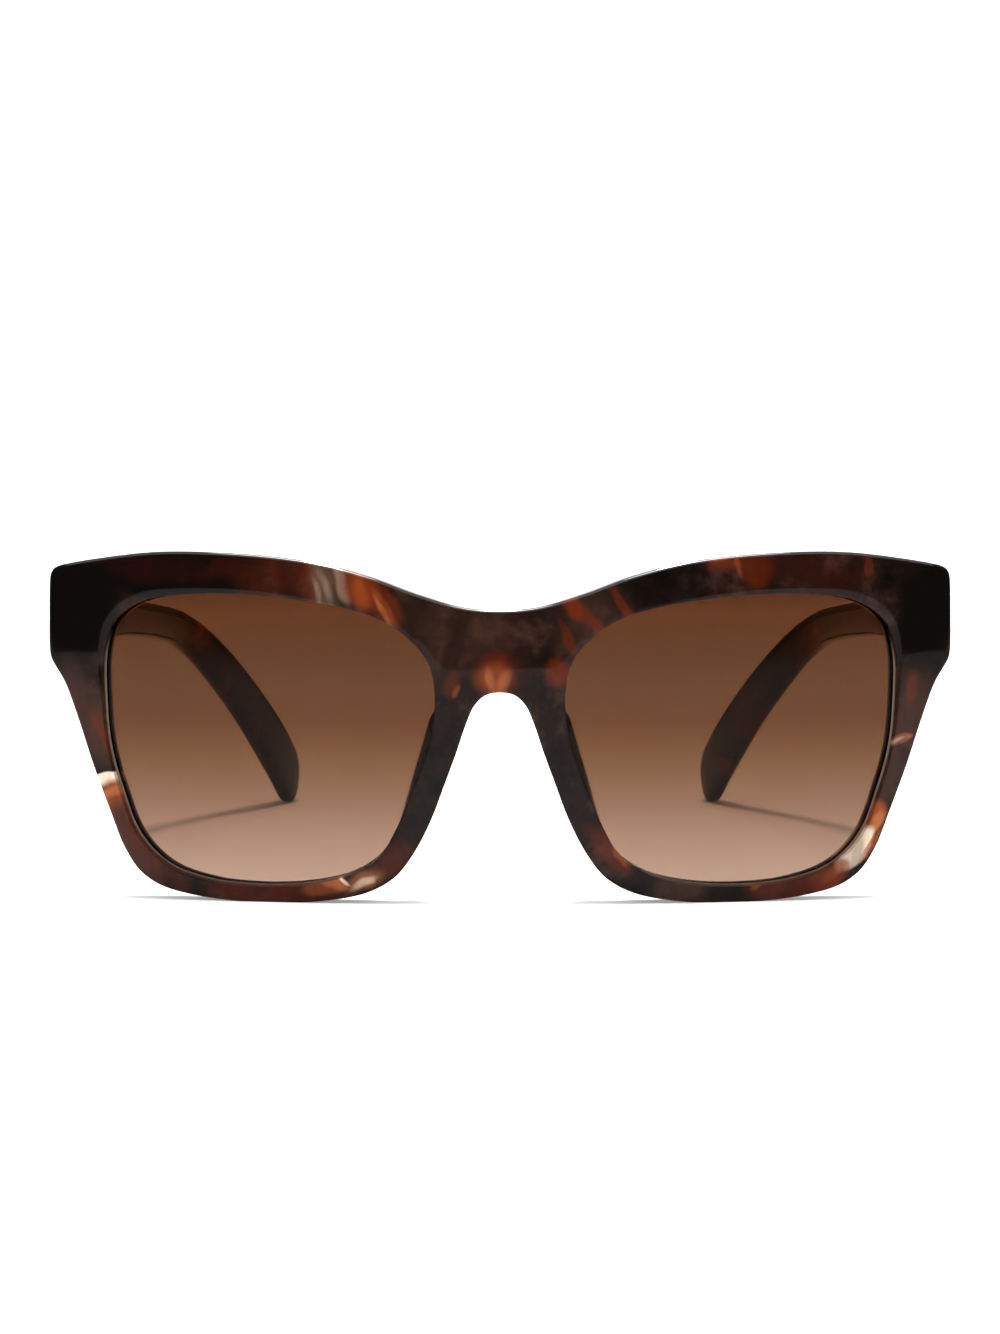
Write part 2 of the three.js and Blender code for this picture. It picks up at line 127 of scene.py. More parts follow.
# From the hinge, the temple's section turns from upright to square to its path over the first
# stretch, and its superellipse grows rounder, by these powers, over the second.
TURNING_STRETCH = (8, 34)
ROUNDING_STRETCH = (12, 45)
HINGE_POWER = 6
REAR_POWER = 2.9
# The hinge end's broken edges: how much smaller each ring is than the last, and how far ahead.
END_BREAK = [(0.12, 0.12), (0.4, 0.22)]

BARREL_RADIUS = 1.45
BARREL_PITCH = 1.35
BARREL_GAP = 0.12
BARREL_COUNT = 5
BARREL_BREAK = 0.1              # of the barrels' edges
BLOCK_BREAK = 0.12              # of the edges of the hinge's plates and webs
HINGE_HALF = (BARREL_COUNT * BARREL_PITCH - BARREL_GAP) / 2
# The hinge's plates and the webs that join its barrels to them: two corners from the hinge axis.
FRONT_PLATE = ((-1.7, -2.75), (1.7, -1.75))
FRONT_WEB = ((-1.3, -2.2), (1.3, 0))
TEMPLE_PLATE = ((1.7, -0.6), (2.8, 9.0))
TEMPLE_WEB = ((0, -0.6), (2.3, 1.43))
FRONT_PLATE_ROUNDING = 0.35
TEMPLE_PLATE_ROUNDING = 0.4
WEB_ROUNDING = 0.15
WEB_INSET = 0.02                # from the barrel's ends
SCREW_RADIUS = 0.6
SCREW_BREAK = 0.1               # of the screw's edges
SCREW_HEAD_RADIUS = 1.15
SCREW_HEAD_HEIGHT = 0.6         # above a barrel gap over the top barrel
SCREW_HEAD_GAP = 0.02           # between the head and the top barrel
SLOT_DEPTH = 0.3
HALF_SLOT = 0.16                # half the slot's width

PAD_FOOT = (10.2, 20.6)         # x and z of the middle of the nose pad's foot, in the flat drawing
PAD_HALF_LENGTH = 10.5
PAD_HEIGHT = 6.2
PAD_ROOT = -1.6                 # how far the foot is let into the rim
PAD_THICKNESS = 3.0
PAD_BEVEL = 1.1
PAD_SLANT = math.radians(20)    # of its length from upright, seen from the front
PAD_LEAN = math.radians(24)     # outwards as it runs back, seen from above
PAD_ROUND_STEPS = 8             # rings over each of its bevels
PAD_OUTER = (13.5, 0, 22)       # a point of the plane that ends the pad away from the nose
PAD_OUTER_SLANT = math.radians(16.1)
PAD_OUTER_SOFTNESS = 0.25       # distance over which the pad bends into that plane


# ---- camera -------------------------------------------------------------------------------------
def make_camera():
    """The photograph's viewpoint: level with a seated eye, just above the glasses."""
    distance = 600
    height = 90.1
    pitch = 4.94
    data = bpy.data.cameras.new("camera")
    data.lens = 102.3
    data.sensor_width = 36
    data.clip_start = 0.01
    data.clip_end = 200
    camera = bpy.data.objects.new("camera", data)
    bpy.context.scene.collection.objects.link(camera)
    camera.location = (0, (FRONT_Y - distance) * MM, height * MM)
    camera.rotation_euler = (math.radians(90 - pitch), 0, 0)
    bpy.context.scene.camera = camera


make_camera()


# ---- curves and meshes --------------------------------------------------------------------------
def smoothstep(low, high, value):
    t = np.clip((value - low) / (high - low), 0, 1)
    return t * t * (3 - 2 * t)


def catmull_rom(points, closed, per_span=24):
    """Points along a centripetal Catmull-Rom spline through the rows of points.

    k0 to k2 are the square roots of the chords' lengths, m1 and m2 the slopes at p1 and p2.
    """
    points = np.array(points, float)
    if closed:
        points = np.vstack([points[-1], points, points[:2]])
    else:
        points = np.vstack([2 * points[0] - points[1], points, 2 * points[-1] - points[-2]])
    found = []
    for p0, p1, p2, p3 in zip(points, points[1:], points[2:], points[3:]):
        k0, k1, k2 = (math.sqrt(np.linalg.norm(b - a)) for a, b in ((p0, p1), (p1, p2), (p2, p3)))
        m1 = (p1 - p0) / k0 - (p2 - p0) / (k0 + k1) + (p2 - p1) / k1
        m2 = (p2 - p1) / k1 - (p3 - p1) / (k1 + k2) + (p3 - p2) / k2
        t = (np.arange(per_span) / per_span)[:, None]
        found.append(
            (2 * t**3 - 3 * t**2 + 1) * p1 + (t**3 - 2 * t**2 + t) * m1 * k1
            + (-2 * t**3 + 3 * t**2) * p2 + (t**3 - t**2) * m2 * k1
        )
    if not closed:
        found.append(points[-2:-1])
    return np.vstack(found)


def evenly_spaced(points, step, closed):
    """The same path with points a step apart."""
    path = np.vstack([points, points[:1]]) if closed else points
    along = np.concatenate([[0], np.cumsum(np.linalg.norm(np.diff(path, axis=0), axis=1))])
    count = max(8, round(along[-1] / step))
    at = np.linspace(0, along[-1], count, endpoint=not closed)
    return np.column_stack([np.interp(at, along, path[:, k]) for k in range(path.shape[1])])


def softened(loop, width):
    """A closed loop averaged over a few neighbours, which evens out its curvature."""
    reach = np.arange(-3 * width, 3 * width + 1)
    weights = np.exp(-0.5 * (reach / width) ** 2)
    weights /= weights.sum()
    return sum(w * np.roll(loop, -shift, axis=0) for shift, w in zip(reach, weights))


def smooth_loop(points, softness=2):
    """A closed curve through the points, evenly spaced and softened."""
    return softened(evenly_spaced(catmull_rom(points, True), LOOP_STEP, True), softness)


def side_normals(loop):
    """Unit vectors to the right of a closed 2-D loop as it runs."""
    along = np.roll(loop, -1, axis=0) - np.roll(loop, 1, axis=0)
    along /= np.linalg.norm(along, axis=1)[:, None]
    return np.column_stack([along[:, 1], -along[:, 0]])


def bend(x, depth, z):
    """A point of the front's flat drawing, at a depth behind its bent front surface."""
    rise = z - BEND_LEVEL
    root_x = np.sqrt(BEND_RADIUS_X**2 - x**2)
    root_z = np.sqrt(BEND_RADIUS_Z**2 - rise**2)
    y = FRONT_Y + BEND_RADIUS_X - root_x + BEND_RADIUS_Z - root_z
    inward = np.column_stack([-x / root_x, np.ones_like(x), -rise / root_z])
    inward /= np.linalg.norm(inward, axis=1)[:, None]
    return np.column_stack([x, y, z]) + inward * np.reshape(depth, (-1, 1))


def ring_faces(starts, count):
    """Quads between neighbouring rings. Anticlockwise rings that run away give outward faces."""
    faces = []
    for here, there in zip(starts, starts[1:]):
        for i in range(count):
            j = (i + 1) % count
            faces.append((here + i, there + i, there + j, here + j))
    return faces


def new_piece(name, points, faces, body, stands_for, material, marks=None):
    """A smooth-shaded mesh from points in millimetres, with a mark for each point if given, for a painted
    highlight.
    """
    mesh = bpy.data.meshes.new(name)
    mesh.from_pydata((np.asarray(points) * MM).tolist(), [], faces)
    mesh.validate()
    mesh.polygons.foreach_set("use_smooth", [True] * len(mesh.polygons))
    mesh.set_sharp_from_angle(angle=SHARP_ANGLE)
    if marks is not None:
        mesh.attributes.new("mark", "FLOAT", "POINT").data.foreach_set("value", marks)
    mesh.materials.append(material)
    piece = bpy.data.objects.new(name, mesh)
    bpy.context.scene.collection.objects.link(piece)
    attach(piece, body)
    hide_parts(stands_for)


def mirrored(points, faces):
    """The same body on the wearer's right."""
    return np.asarray(points) * (-1, 1, 1), [tuple(reversed(face)) for face in faces]


def loft(rings):
    """Points and faces of a closed body through rings, with a fan at each end."""
    count = len(rings[0])
    points = np.vstack(list(rings) + [rings[0].mean(axis=0), rings[-1].mean(axis=0)])
    faces = ring_faces([k * count for k in range(len(rings))], count)
    first, last = len(points) - 2, len(points) - 1
    tail = (len(rings) - 1) * count
    for i in range(count):
        j = (i + 1) % count
        faces.append((first, i, j))
        faces.append((last, tail + j, tail + i))
    return points, faces


def joined(parts):
    """Several bodies as one list of points and faces."""
    points, faces, start = [], [], 0
    for part_points, part_faces in parts:
        points.append(part_points)
        faces += [tuple(start + i for i in face) for face in part_faces]
        start += len(part_points)
    return np.vstack(points), faces


def inside(loop, points):
    """Which of the points lie inside a closed 2-D loop."""
    x, z = points[:, :1], points[:, 1:]
    ax, az = loop[:, 0], loop[:, 1]
    bx, bz = np.roll(ax, -1), np.roll(az, -1)
    crosses = (az > z) != (bz > z)
    with np.errstate(divide="ignore", invalid="ignore"):
        at = ax + (z - az) * (bx - ax) / (bz - az)
    return (np.where(crosses, x < at, False).sum(axis=1) % 2) == 1


def between(loops, points):
    """Which of the points lie inside the first loop and outside the others."""
    outer, *holes = loops
    keep = inside(outer, points)
    for hole in holes:
        keep &= ~inside(hole, points)
    return keep


# ---- node materials -----------------------------------------------------------------------------
class Nodes:
    """Short calls for building the node tree of a material or a world."""

    def __init__(self, owner):
        self.owner = owner
        owner.use_nodes = True
        self.tree = owner.node_tree
        self.tree.nodes.clear()

    def add(self, kind, inputs=None, **settings):
        node = self.tree.nodes.new("ShaderNode" + kind)
        for key, value in settings.items():
            setattr(node, key, value)
        for key, value in (inputs or {}).items():
            if isinstance(value, bpy.types.NodeSocket):
                self.tree.links.new(value, node.inputs[key])
            else:
                node.inputs[key].default_value = value
        return node

    def place(self):
        """Where the shaded point is, in its piece's own coordinates."""
        return self.add("TexCoord").outputs["Object"]

    def mark(self):
        """What new_piece wrote for the point, and 0 on a mesh without marks; the marks place painted
        highlights.
        """
        return self.add("Attribute", attribute_name="mark").outputs["Fac"]

    def math(self, operation, *values):
        return self.add("Math", dict(enumerate(values)), operation=operation).outputs[0]

    def vector_math(self, operation, *values):
        return self.add("VectorMath", dict(enumerate(values)), operation=operation).outputs[0]

    def remap(self, value, low, high, to_low=0.0, to_high=1.0, smooth=False):
        """The value carried from one range to another and held inside it."""
        return self.add("MapRange", {
            "Value": value, "From Min": low, "From Max": high, "To Min": to_low, "To Max": to_high,
        }, interpolation_type="SMOOTHSTEP" if smooth else "LINEAR").outputs[0]

    def noise(self, vector, scale, detail, roughness=0.5, distortion=0.0, output="Fac"):
        return self.add("TexNoise", {
            "Vector": vector, "Scale": scale, "Detail": detail, "Roughness": roughness,
            "Distortion": distortion,
        }).outputs[output]

    def ramp(self, factor, stops):
        node = self.add("ValToRGB", {"Fac": factor})
        elements = node.color_ramp.elements
        while len(elements) < len(stops):
            elements.new(0.5)
        for element, (position, colour) in zip(elements, stops):
            element.position = position
            element.color = (*colour, 1)
        return node.outputs["Color"]

    def output(self, surface, kind="OutputMaterial"):
        self.add(kind, {"Surface": surface})
        return self.owner


def new_material(name):
    return Nodes(bpy.data.materials.new(name))


# Colours that run through the tortoise sheet.
CREAM = (0.86, 0.68, 0.51)
OLIVE = (0.15, 0.095, 0.055)
AMBER = (0.42, 0.135, 0.047)
ORANGE = (0.28, 0.060, 0.015)
RUST = (0.13, 0.019, 0.004)
RED = (0.075, 0.008, 0.002)
BROWN = (0.050, 0.022, 0.015)
SHADE = (0.012, 0.006, 0.0045)
BLACK = (0.0035, 0.0028, 0.0024)
ARM_DARK = (0.007, 0.004, 0.003)
ARM_SHADE = (0.016, 0.008, 0.006)
# Specular levels: how strongly each surface mirrors the room.
FRONT_GLOSS = 0.085
TOP_EDGE_HIGHLIGHT = 0.9            # added where the front's marks show its top edge: a painted highlight, far more reflection than the sheet has elsewhere
ARM_GLOSS = 0.25
# The front's patches, laid over one another: colour, centre x and z, half lengths along and
# across, tilt of the long axis in degrees, strength, and softness of the edge.
FRONT_PATCHES = [
    # brow, on the wearer's right
    (BLACK, -54, 52.5, 15, 5.4, 2, 1.0, 0.8), (RED, -56, 53.2, 13, 2.4, 2, 0.15, 1.0),
    (RUST, -36.5, 52.8, 5.5, 3.6, -6, 0.25, 0.9), (RED, -45, 53.6, 3.0, 1.5, 30, 0.2, 1.0),
    (RUST, -29.0, 51.4, 4.6, 2.8, -76, 0.5, 1.2), (OLIVE, -27.6, 51.4, 4.0, 2.2, -76, 0.7, 1.2),
    (CREAM, -24.9, 51.8, 3.0, 0.7, -74, 0.45, 1.3),
    (CREAM, -27.2, 50.4, 2.4, 0.6, -62, 0.16, 1.4), (CREAM, -28.8, 49.6, 1.6, 0.5, -70, 0.16, 1.4),
    (RUST, -22.8, 51.4, 4.0, 2.6, -60, 0.95, 0.6), (ORANGE, -22.0, 50.0, 2.6, 1.7, -64, 0.6, 1.0),
    (RUST, -18.4, 48.6, 3.8, 1.9, -62, 0.9, 0.8), (ORANGE, -18.4, 47.6, 3.0, 0.8, -64, 0.6, 0.9),
    (AMBER, -18.8, 47.2, 2.2, 0.4, -64, 0.45, 0.9), (BROWN, -9, 44, 9, 8, 0, 0.4, 1.0),
    # bridge
    (RUST, -7.4, 35.2, 2.0, 1.4, 80, 0.4, 1.0), (ORANGE, -6.6, 34.0, 1.0, 0.55, 50, 0.55, 0.9),
    (BROWN, 0, 40, 8, 5, 90, 0.2, 1.0), (RUST, -0.2, 36.0, 3.0, 2.8, 90, 0.6, 1.2),
    (ORANGE, -0.4, 35.0, 2.3, 2.2, 90, 0.45, 1.3), (AMBER, 0.8, 34.6, 2.0, 0.7, 74, 0.45, 1.3),
    (AMBER, -1.0, 34.8, 1.8, 0.5, 100, 0.4, 1.3),
    # brow, on the wearer's left, then both end pieces
    (RUST, 8.8, 37.2, 2.3, 1.7, 60, 0.8, 0.9), (BROWN, 14, 45.5, 9, 6.5, -40, 0.5, 0.9),
    (RUST, 11.0, 48.4, 2.6, 1.2, -60, 0.9, 0.9), (RUST, 14.6, 45.0, 4.8, 0.9, -56, 0.6, 0.9),
    (RUST, 19.4, 48.0, 3.6, 0.7, -58, 0.6, 0.9), (RUST, 10.0, 43.2, 3.4, 0.7, -66, 0.5, 0.9),
    (BLACK, 27, 51.5, 7, 3.6, 15, 0.5, 0.8), (RUST, 36.4, 54.2, 3.4, 1.8, 8, 0.85, 0.8),
    (ORANGE, 35.6, 54.6, 1.6, 0.9, 20, 0.5, 0.9), (RUST, 41.6, 52.4, 3.2, 2.4, -70, 0.55, 0.9),
    (ORANGE, 38.9, 53.4, 1.7, 0.45, -82, 0.5, 1.1), (RED, 50, 53.0, 8, 3, 0, 0.2, 0.9),
    (RUST, 59.3, 54.2, 1.6, 0.8, 84, 0.8, 0.9), (BLACK, 68.6, 46.5, 8.5, 5.2, 82, 1.0, 0.5),
    (BLACK, -68.0, 46.5, 8.5, 7.0, 82, 1.0, 0.6),
    # side and bottom of the rim on the wearer's right
    (BROWN, -66.4, 29.0, 8.5, 3.4, -68, 0.9, 0.9), (RUST, -64.8, 27.0, 4.6, 0.9, -66, 0.4, 0.9),
    (CREAM, -62.2, 15.6, 7.0, 4.1, 6, 1.0, 0.1), (RUST, -61.4, 12.7, 8.0, 5.4, 8, 1.0, 0.25),
    (ORANGE, -61.8, 15.6, 2.6, 1.8, -66, 0.9, 0.9), (AMBER, -61.4, 16.4, 2.2, 0.8, 10, 0.7, 0.9),
    (BROWN, -58.5, 9.6, 6.0, 4.6, -40, 1.0, 0.7), (RED, -56.0, 9.0, 8.0, 3.2, -54, 0.5, 0.9),
    (RED, -36, 2.0, 10, 2.6, -2, 0.7, 0.9), (ORANGE, -28.0, 2.8, 3.2, 1.4, 8, 0.7, 0.9),
    (AMBER, -26.4, 3.6, 1.9, 1.0, -30, 0.7, 0.8), (CREAM, -25.4, 3.8, 1.3, 0.25, -40, 0.8, 0.9),
    (AMBER, -22.0, 3.8, 2.8, 1.4, 30, 0.55, 1.0), (CREAM, -22.2, 3.4, 1.9, 0.6, 34, 0.5, 1.1),
    (RUST, -17.0, 7.4, 4.6, 2.6, 40, 0.35, 0.9),
    # side and bottom of the rim on the wearer's left
    (BROWN, 66.0, 30.4, 6.5, 3.0, 70, 0.7, 0.9), (RUST, 66.4, 33.4, 3.0, 1.0, 74, 0.4, 0.9),
    (AMBER, 64.0, 25.0, 2.5, 0.6, 18, 0.8, 0.6), (CREAM, 63.4, 24.8, 1.5, 0.25, 20, 0.6, 0.9),
    (BROWN, 62.6, 21.0, 5.6, 3.2, 70, 0.8, 0.9), (ORANGE, 60.0, 14.4, 2.6, 1.7, 66, 0.9, 0.6),
    (AMBER, 60.2, 13.6, 1.8, 1.0, 66, 0.8, 0.8), (CREAM, 56.6, 8.7, 4.6, 2.2, 56, 1.0, 0.3),
    (ORANGE, 59.4, 9.4, 3.4, 0.7, 58, 0.8, 0.6), (RUST, 53.0, 4.4, 3.4, 2.4, 36, 0.95, 0.4),
    (ORANGE, 53.4, 4.8, 2.4, 0.9, 44, 0.45, 0.9), (RED, 46.5, 2.4, 6.0, 2.4, 12, 0.7, 0.8),
    (ORANGE, 42.2, 2.4, 1.2, 0.5, 40, 0.7, 0.8), (BLACK, 36.5, 1.4, 4.0, 1.3, 0, 0.8, 0.8),
    (OLIVE, 28.6, 2.4, 4.2, 2.2, 6, 0.16, 0.8), (BROWN, 28.6, 2.2, 4.6, 2.4, 6, 0.5, 0.7),
    (RUST, 17.4, 8.6, 4.2, 2.0, -52, 0.6, 0.9), (ORANGE, 18.8, 7.0, 1.4, 0.5, -54, 0.6, 0.9),
]


def acetate_parts(name):
    """What every acetate shares: its place, a slow and a fine warp of it, and streaks."""
    n = new_material(name)
    place = n.place()
    warped = place
    for scale, detail, reach in ((60, 2.0, 0.0055), (260, 3.0, 0.0012)):
        cloud = n.noise(place, scale, detail, output="Color")
        cloud = n.vector_math("SUBTRACT", cloud, (0.5, 0.5, 0.5))
        cloud = n.vector_math("MULTIPLY", cloud, (reach, reach, reach))
        warped = n.vector_math("ADD", warped, cloud)
    flow = n.add("Mapping", {
        "Vector": warped, "Rotation": (0, math.radians(-24), 0), "Scale": (300, 120, 60),
    }).outputs[0]
    streaks = n.noise(flow, 1.0, 3.0, 0.55, 0.3)
    return n, place, warped, streaks


def polished(n, place, colour, gloss):
    """The shader of polished acetate with this colour."""
    rough = n.remap(n.noise(place, 900, 2.0), 0, 1, 0.015, 0.035)
    ripple = n.noise(place, 160, 1.0)
    wave = n.add("Bump", {"Height": ripple, "Strength": 0.02, "Distance": 0.0004}).outputs[0]
    shader = n.add("BsdfPrincipled", {
        "Base Color": colour, "Roughness": rough, "Normal": wave, "Specular IOR Level": gloss,
    })
    return n.output(shader.outputs[0])


def patch_cover(n, flat, x, z, long, short, tilt, strength, soft):
    """How much an oval patch covers each place: its strength inside, nothing outside."""
    local = n.add("Mapping", {
        "Vector": flat,
        "Location": (x * MM, 0, z * MM),
        "Rotation": (0, math.radians(-tilt), 0),
        "Scale": (long * MM, 1, short * MM),
    }, vector_type="TEXTURE").outputs[0]
    reach = n.add("VectorMath", {0: local}, operation="LENGTH").outputs["Value"]
    return n.remap(reach, 1 - soft / 2, 1 + soft / 2, strength, 0.0, smooth=True)


def front_acetate():
    """Tortoise sheet: near black, with placed patches of warm and pale colour."""
    n, place, warped, streaks = acetate_parts("acetate_front")
    flat = n.vector_math("MULTIPLY", warped, (1, 0, 1))
    grain = n.remap(streaks, 0.34, 0.62, 0.5, 1.0)
    mottle = n.noise(warped, 170, 4.0, 0.6)
    colour = n.ramp(mottle, [(0.34, BLACK), (0.52, SHADE), (0.72, BROWN)])
    for tone, *patch in FRONT_PATCHES:
        cover = patch_cover(n, flat, *patch)
        if tone is not BLACK:
            cover = n.math("MULTIPLY", cover, grain)
        blend = n.add("Mix", {0: cover, 6: colour, 7: (*tone, 1)}, data_type="RGBA")
        colour = blend.outputs[2]
    # the marks along the top edge add a painted highlight there
    gloss = n.math("MULTIPLY_ADD", n.mark(), TOP_EDGE_HIGHLIGHT, FRONT_GLOSS)
    return polished(n, place, colour, gloss)


def arm_acetate(name, share):
    """The same sheet where it is not placed: random drifts of warm colour in near black."""
    n, place, warped, streaks = acetate_parts(name)
    drift = n.noise(warped, 95, 2.5, 0.5, 0.4)
    level = n.math("MULTIPLY_ADD", streaks, 0.35, drift)
    level = n.remap(level, 0.60, 0.98, 0.0, share)
    colour = n.ramp(level, [
        (0.0, ARM_DARK), (0.25, ARM_SHADE), (0.45, BROWN), (0.62, RUST), (0.78, ORANGE),
        (0.9, AMBER), (1.0, CREAM),
    ])
    return polished(n, place, colour, ARM_GLOSS)


# What the lens lets through at these heights: the light crosses two surfaces on its way.
LENS_TINT = [
    (3.7, (0.222, 0.145, 0.107)), (11.4, (0.165, 0.097, 0.067)),
    (17.8, (0.119, 0.062, 0.037)), (22.9, (0.095, 0.045, 0.021)),
    (29.3, (0.072, 0.028, 0.012)), (39.5, (0.069, 0.029, 0.013)),
    # the drop to the last stop is painted shade along the lens's top edge, under the brow
    (47.2, (0.076, 0.026, 0.010)), (50.5, (0.056, 0.019, 0.008)),
]
LENS_COATING = 0.12             # share of plain glass's reflection that the coating leaves
LENS_HIGHLIGHT_SHARE = 0.45          # how much of the marked edge is painted highlight
# the painted highlight's light cream colour
LENS_HIGHLIGHT_COLOUR = (0.62, 0.45, 0.34)


def tinted_lens():
    """Brown gradient tint that passes light straight through, coated, with a painted highlight along its
    marked edge.
    """
    n = new_material("lens_gradient")
    place = n.place()
    height = n.add("SeparateXYZ", {0: place}).outputs["Z"]
    uneven = n.noise(place, 30, 2.0)
    height = n.math("MULTIPLY_ADD", uneven, 0.8 * MM, height)
    low, high = LENS_TINT[0][0], LENS_TINT[-1][0]
    share = n.remap(height, low * MM, high * MM)
    stops = [
        ((z - low) / (high - low), tuple(math.sqrt(part) for part in tint))
        for z, tint in LENS_TINT
    ]
    clear = n.add("BsdfTransparent", {"Color": n.ramp(share, stops)}).outputs[0]
    gloss = n.add("BsdfGlossy", {"Color": (1, 1, 1, 1), "Roughness": 0.09}).outputs[0]
    facing = n.add("Fresnel", {"IOR": 1.5}).outputs[0]
    facing = n.math("MULTIPLY", facing, LENS_COATING)
    coated = n.add("MixShader", {0: facing, 1: clear, 2: gloss}).outputs[0]
    # a light diffuse colour mixed in along the marked edge: a painted highlight
    edge = n.math("MULTIPLY", n.mark(), LENS_HIGHLIGHT_SHARE)
    bright = n.add("BsdfDiffuse", {"Color": (*LENS_HIGHLIGHT_COLOUR, 1)}).outputs[0]
    return n.output(n.add("MixShader", {0: edge, 1: coated, 2: bright}).outputs[0])


def hinge_metal():
    """Satin nickel: fine brushing and a little tarnish."""
    n = new_material("hinge_nickel")
    place = n.place()
    brushed = n.add("Mapping", {"Vector": place, "Scale": (900, 900, 9000)}).outputs[0]
    lines = n.noise(brushed, 1.0, 3.0)
    tarnish = n.noise(place, 500, 3.0)
    colour = n.ramp(tarnish, [(0.3, (0.50, 0.47, 0.43)), (0.7, (0.66, 0.64, 0.60))])
    rough = n.remap(lines, 0, 1, 0.22, 0.40)
    bump = n.add("Bump", {"Height": lines, "Strength": 0.12, "Distance": 0.00005}).outputs[0]
    shader = n.add("BsdfPrincipled", {
        "Base Color": colour, "Metallic": 1.0, "Roughness": rough, "Normal": bump,
    })
    return n.output(shader.outputs[0])


front_sheet = front_acetate()
temple_acetate = arm_acetate("acetate_temple", 0.85)
pad_acetate = arm_acetate("acetate_pad", 0.6)
lens_material = tinted_lens()
metal = hinge_metal()


# ---- front frame --------------------------------------------------------------------------------
def quarter_round(radius, steps):
    """Depth and inset of a rounded edge, from the face to the wall."""
    turns = np.linspace(0, math.pi / 2, steps)
    return [(radius * (1 - math.cos(a)), radius * (1 - math.sin(a))) for a in turns]


def opening_rings(loop, normals):
    """Rings of an opening's wall: each is its depth and its points in the flat drawing."""
    x, z = np.abs(loop[:, 0]), loop[:, 1]
    from_corner = np.hypot(x - OPENING_CORNER[0], z - OPENING_CORNER[1])
    brow = smoothstep(*BROW_LEVELS, z) * smoothstep(*BROW_SIDES, x)
    width = CHAMFER_LEAST + CHAMFER_BROW * brow
    width += CHAMFER_CORNER * np.exp(-(from_corner / CORNER_REACH) ** 2)
    width = softened(width, 6)
    levels = [(width * deep, width * out) for out, deep in CHAMFER_PROFILE]
    wall = [
        (GROOVE_FRONT, 0.0), (GROOVE_FRONT + GROOVE_TAPER, GROOVE_SINK),
        (GROOVE_BACK - GROOVE_TAPER, GROOVE_SINK), (GROOVE_BACK, 0.0),
    ]
    wall += [(FRONT_THICKNESS - short, out) for out, short in BACK_BREAK]
    levels += [(np.full_like(width, d), np.full_like(width, w)) for d, w in wall]
    return [(d, loop + normals * w[:, None]) for d, w in levels]


def outline_rings(loop, normals):
    """Rings of the front's outer wall, from the front face over its rounded edges to the back."""
    front = [(0.0, -FRONT_ROUNDING - FACE_SUPPORT)]
    front += [(d, -inset) for d, inset in quarter_round(FRONT_ROUNDING, ROUNDING_STEPS)]
    back = [
        (FRONT_THICKNESS - d, -inset)
        for d, inset in quarter_round(BACK_ROUNDING, ROUNDING_STEPS)[::-1]
    ]
    back.append((FRONT_THICKNESS, -BACK_ROUNDING - FACE_SUPPORT))
    wall = [
        (FRONT_ROUNDING + WALL_SUPPORT, 0.0),
        (FRONT_THICKNESS - BACK_ROUNDING - WALL_SUPPORT, 0.0),
    ]
    return [(np.full(len(loop), d), loop + normals * w) for d, w in front + wall + back]


def front_walls():
    """The rings of the outline's wall, then those of the left and the right opening."""
    clockwise = HALF_OUTLINE + [(-x, z) for x, z in HALF_OUTLINE[-2:0:-1]]
    outer = smooth_loop(clockwise[::-1], 1)
    left = smooth_loop(OPENING)[::-1]
    right = left[::-1] * (-1, 1)
    walls = [outline_rings(outer, side_normals(outer))]
    walls += [opening_rings(loop, -side_normals(loop)) for loop in (left, right)]
    return walls


def face_points(loops):
    """A grid of points on a face of the front, clear of its edges."""
    low, high = loops[0].min(axis=0), loops[0].max(axis=0)
    row = FACE_STEP * math.sqrt(3) / 2
    grid = np.array([
        (x + (k % 2) * FACE_STEP / 2, z)
        for k, z in enumerate(np.arange(low[1], high[1], row))
        for x in np.arange(low[0], high[0], FACE_STEP)
    ])
    grid = grid[between(loops, grid)]
    edges = np.vstack(loops)
    near = np.array([np.min(np.sum((edges - p) ** 2, axis=1)) for p in grid])
    return grid[near > (0.55 * FACE_STEP) ** 2]


def face_triangles(loops, middle):
    """Triangles over a face with holes, as indices into its loops' points and then the middle's."""
    points = np.vstack(loops + [middle])
    edges, first = [], 0
    for ring in loops:
        edges += [(first + i, first + (i + 1) % len(ring)) for i in range(len(ring))]
        first += len(ring)
    _, _, triangles, origin, _, _ = delaunay_2d_cdt(points.tolist(), edges, [], 0, 1e-6)
    corners = np.array([[origin[i][0] for i in triangle] for triangle in triangles])
    return corners[between(loops, points[corners].mean(axis=1))]


def front_mesh(walls):
    """The front's points in its flat drawing, their depths, and its mesh faces."""
    flat, depths, faces = [], [], []
    ends = {0: [], -1: []}
    total = 0
    for rings in walls:
        starts = []
        for depth, ring in rings:
            starts.append(total)
            flat.append(ring)
            depths.append(depth)
            total += len(ring)
        faces += ring_faces(starts, len(rings[0][1]))
        for end, found in ends.items():
            found.append((starts[end], rings[end][1]))

    for end, depth in ((0, 0.0), (-1, FRONT_THICKNESS)):
        loops = [ring for start, ring in ends[end]]
        middle = face_points(loops)
        ids = np.concatenate([
            *[start + np.arange(len(ring)) for start, ring in ends[end]],
            total + np.arange(len(middle)),
        ])
        flat.append(middle)
        depths.append(np.full(len(middle), depth))
        total += len(middle)
        for a, b, c in ids[face_triangles(loops, middle)].tolist():
            faces.append((a, b, c) if end == 0 else (a, c, b))
    return np.vstack(flat), np.concatenate(depths), faces


def top_edge_highlight_marks(flat, ring_length):
    """Marks the rounding along the top of the brow for a painted highlight, a bright line."""
    marks = np.zeros(len(flat))
    rounding = slice(ring_length, (1 + ROUNDING_STEPS) * ring_length)
    x, z = flat[rounding].T
    marks[rounding] = smoothstep(*TOP_EDGE_LEVELS, z) * (np.abs(x) < TOP_EDGE_HALF)
    return marks


